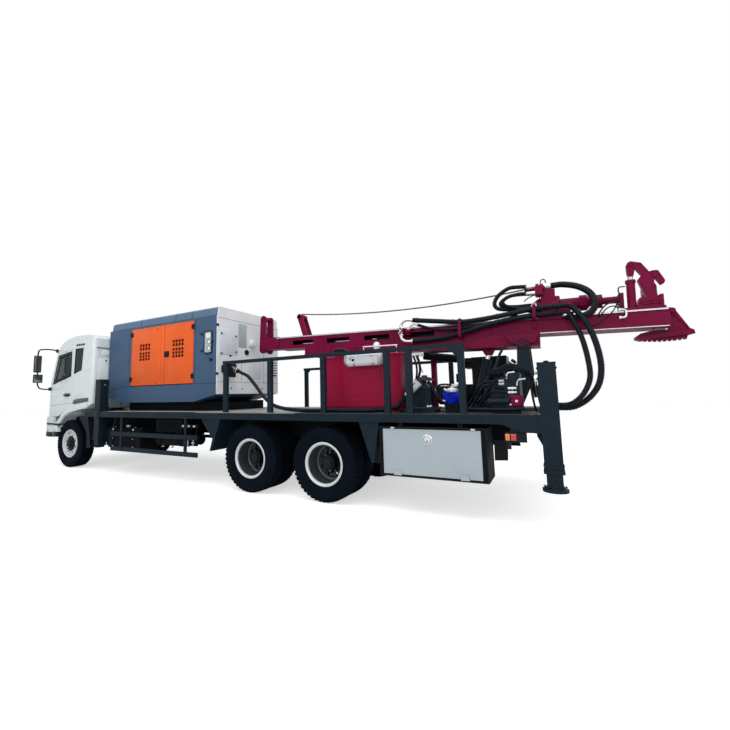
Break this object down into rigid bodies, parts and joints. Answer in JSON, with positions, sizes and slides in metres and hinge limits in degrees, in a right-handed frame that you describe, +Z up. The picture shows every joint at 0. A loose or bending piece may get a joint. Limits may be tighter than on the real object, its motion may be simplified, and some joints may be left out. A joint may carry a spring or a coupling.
{
  "type": "truck-mounted reverse circulation drilling rig",
  "caption": "Flatbed truck with cab, enclosed air compressor, side rails and stabiliser jacks, and a tilting drill mast with rotary head laid over the deck",
  "frame": {"origin": "centre of the bounding box on the ground under the wheels", "axes": "+X towards the cab, +Y to the vehicle's left, +Z up"},
  "size_m": [12.2257, 3.22, 3.175],
  "materials": {
    "crimson": "satin",
    "frame": "satin",
    "deck": "matte",
    "white": "gloss",
    "blue_grey": "satin",
    "orange": "satin",
    "light_grey": "satin",
    "box_grey": "satin",
    "black": "satin",
    "tyre": "matte",
    "rim": "satin",
    "chrome": "polished",
    "glass": "clear",
    "blue": "satin",
    "rubber": "matte"
  },
  "bodies": {
    "chassis": {"chassis_frame": "frame", "rear_axles": "black", "front_axle": "black", "cab_shell": "white", "windscreen": "glass", "cab_interior": "black", "front_bumper": "white", "mirror_l": "black", "mirror_r": "black", "deck_frame": "frame", "deck_plate": "deck", "side_tanks": "black", "toolbox": "black", "rear_jack_housing_l": "frame", "rear_jack_housing_r": "frame", "front_jack_frame": "frame", "compressor_canopy": "blue_grey", "compressor_set": "black", "air_outlet_valve": "black", "pivot_frame": "frame", "mast_rest": "frame", "hydraulic_tank": "crimson", "filter_canister": "light_grey", "power_pack": "frame", "water_pump": "blue", "air_hose": "rubber", "hose_loop_outer": "rubber", "hose_loop_inner": "rubber"},
    "steering_left": {"steering_knuckle_l": "black"},
    "steering_right": {"steering_knuckle_r": "black"},
    "front_wheel_left": {"front_tyre_l": "tyre", "front_rim_l": "rim"},
    "front_wheel_right": {"front_tyre_r": "tyre", "front_rim_r": "rim"},
    "middle_wheels_left": {"mid_tyres_l": "tyre", "mid_rims_l": "rim"},
    "middle_wheels_right": {"mid_tyres_r": "tyre", "mid_rims_r": "rim"},
    "rear_wheels_left": {"rear_tyres_l": "tyre", "rear_rims_l": "rim"},
    "rear_wheels_right": {"rear_tyres_r": "tyre", "rear_rims_r": "rim"},
    "cab_door_left": {"cab_door_l": "white"},
    "cab_door_right": {"cab_door_r": "white"},
    "compressor_door_front": {"compressor_door_front": "orange"},
    "compressor_door_rear": {"compressor_door_rear": "orange"},
    "toolbox_lid": {"toolbox_lid": "box_grey"},
    "rear_jack_left": {"rear_jack_leg_l": "frame"},
    "rear_jack_right": {"rear_jack_leg_r": "frame"},
    "front_jack_left": {"front_jack_leg_l": "frame"},
    "front_jack_right": {"front_jack_leg_r": "frame"},
    "mast": {"mast": "crimson", "rod_clamp": "crimson", "mast_hoses": "rubber", "hoist_rope": "black"},
    "rotary_head": {"rotary_head": "crimson"},
    "foot_spade": {"foot_spade": "crimson"},
    "mast_ram_barrel": {"mast_ram_barrel": "frame"},
    "mast_ram_rod": {"mast_ram_rod": "chrome"}
  },
  "joints": [
    {"name": "steer_left", "type": "hinge", "parent": "chassis", "child": "steering_left", "pos_m": [4.943, 0.86, 0.525], "axis": [0, 0, 1], "range_deg": [-35, 35]},
    {"name": "front_wheel_left", "type": "hinge", "parent": "steering_left", "child": "front_wheel_left", "pos_m": [4.943, 1.03, 0.525], "axis": [0, 1, 0], "continuous": true},
    {"name": "steer_right", "type": "hinge", "parent": "chassis", "child": "steering_right", "pos_m": [4.943, -0.86, 0.525], "axis": [0, 0, 1], "range_deg": [-35, 35]},
    {"name": "front_wheel_right", "type": "hinge", "parent": "steering_right", "child": "front_wheel_right", "pos_m": [4.943, -1.03, 0.525], "axis": [0, 1, 0], "continuous": true},
    {"name": "middle_wheels_left", "type": "hinge", "parent": "chassis", "child": "middle_wheels_left", "pos_m": [-0.367, 0.92, 0.525], "axis": [0, 1, 0], "continuous": true},
    {"name": "middle_wheels_right", "type": "hinge", "parent": "chassis", "child": "middle_wheels_right", "pos_m": [-0.367, -0.92, 0.525], "axis": [0, 1, 0], "continuous": true},
    {"name": "rear_wheels_left", "type": "hinge", "parent": "chassis", "child": "rear_wheels_left", "pos_m": [-1.717, 0.92, 0.525], "axis": [0, 1, 0], "continuous": true},
    {"name": "rear_wheels_right", "type": "hinge", "parent": "chassis", "child": "rear_wheels_right", "pos_m": [-1.717, -0.92, 0.525], "axis": [0, 1, 0], "continuous": true},
    {"name": "cab_door_left", "type": "hinge", "parent": "chassis", "child": "cab_door_left", "pos_m": [5.726, 1.23016, 1.9], "axis": [0, 0, -1], "range_deg": [0, 70]},
    {"name": "cab_door_right", "type": "hinge", "parent": "chassis", "child": "cab_door_right", "pos_m": [5.726, -1.23016, 1.9], "axis": [0, 0, 1], "range_deg": [0, 70]},
    {"name": "compressor_door_front", "type": "hinge", "parent": "chassis", "child": "compressor_door_front", "pos_m": [3.226, 0.91016, 2.36], "axis": [0, 0, -1], "range_deg": [0, 120]},
    {"name": "compressor_door_rear", "type": "hinge", "parent": "chassis", "child": "compressor_door_rear", "pos_m": [1.31, 0.91016, 2.36], "axis": [0, 0, 1], "range_deg": [0, 120]},
    {"name": "toolbox_lid", "type": "hinge", "parent": "chassis", "child": "toolbox_lid", "pos_m": [-3.237, 1.23216, 0.482], "axis": [-1, 0, 0], "range_deg": [0, 90]},
    {"name": "rear_jack_left", "type": "slide", "parent": "chassis", "child": "rear_jack_left", "axis": [0, 0, -1], "range_m": [0, 0.425]},
    {"name": "front_jack_left", "type": "slide", "parent": "chassis", "child": "front_jack_left", "axis": [0, 0, -1], "range_m": [0, 0.495]},
    {"name": "rear_jack_right", "type": "slide", "parent": "chassis", "child": "rear_jack_right", "axis": [0, 0, -1], "range_m": [0, 0.425]},
    {"name": "front_jack_right", "type": "slide", "parent": "chassis", "child": "front_jack_right", "axis": [0, 0, -1], "range_m": [0, 0.495]},
    {"name": "mast_tilt", "type": "hinge", "parent": "chassis", "child": "mast", "pos_m": [-4.302, 0, 2.125], "axis": [0, -1, 0], "range_deg": [0, 88.5], "deforming": ["hose_loop_outer", "hose_loop_inner"]},
    {"name": "head_travel", "type": "slide", "parent": "mast", "child": "rotary_head", "axis": [0.9997, 0, 0.0262], "range_m": [0, 3.3], "deforming": ["hoist_rope"]},
    {"name": "foot_spade", "type": "hinge", "parent": "mast", "child": "foot_spade", "pos_m": [-5.92022, 0, 2.41774], "axis": [0, -1, 0], "range_deg": [-88.6, 0]},
    {"name": "ram_swing", "type": "hinge", "parent": "chassis", "child": "mast_ram_barrel", "pos_m": [-3.58, 0, 1.1], "axis": [0, -1, 0], "range_deg": [0, 8.19]},
    {"name": "ram_stroke", "type": "slide", "parent": "mast_ram_barrel", "child": "mast_ram_rod", "axis": [-0.255, 0, 0.9669], "range_m": [0, 0.6443]}
  ],
  "couplings": [
    {"joint": "steer_right", "follows": "steer_left", "ratio": 1},
    {"joint": "foot_spade", "follows": "mast_tilt", "ratio": -1},
    {"joint": "ram_swing", "follows": "mast_tilt", "ratio": 0.092},
    {"joint": "ram_stroke", "follows": "mast_tilt", "m_per_rad": 0.4165}
  ]
}
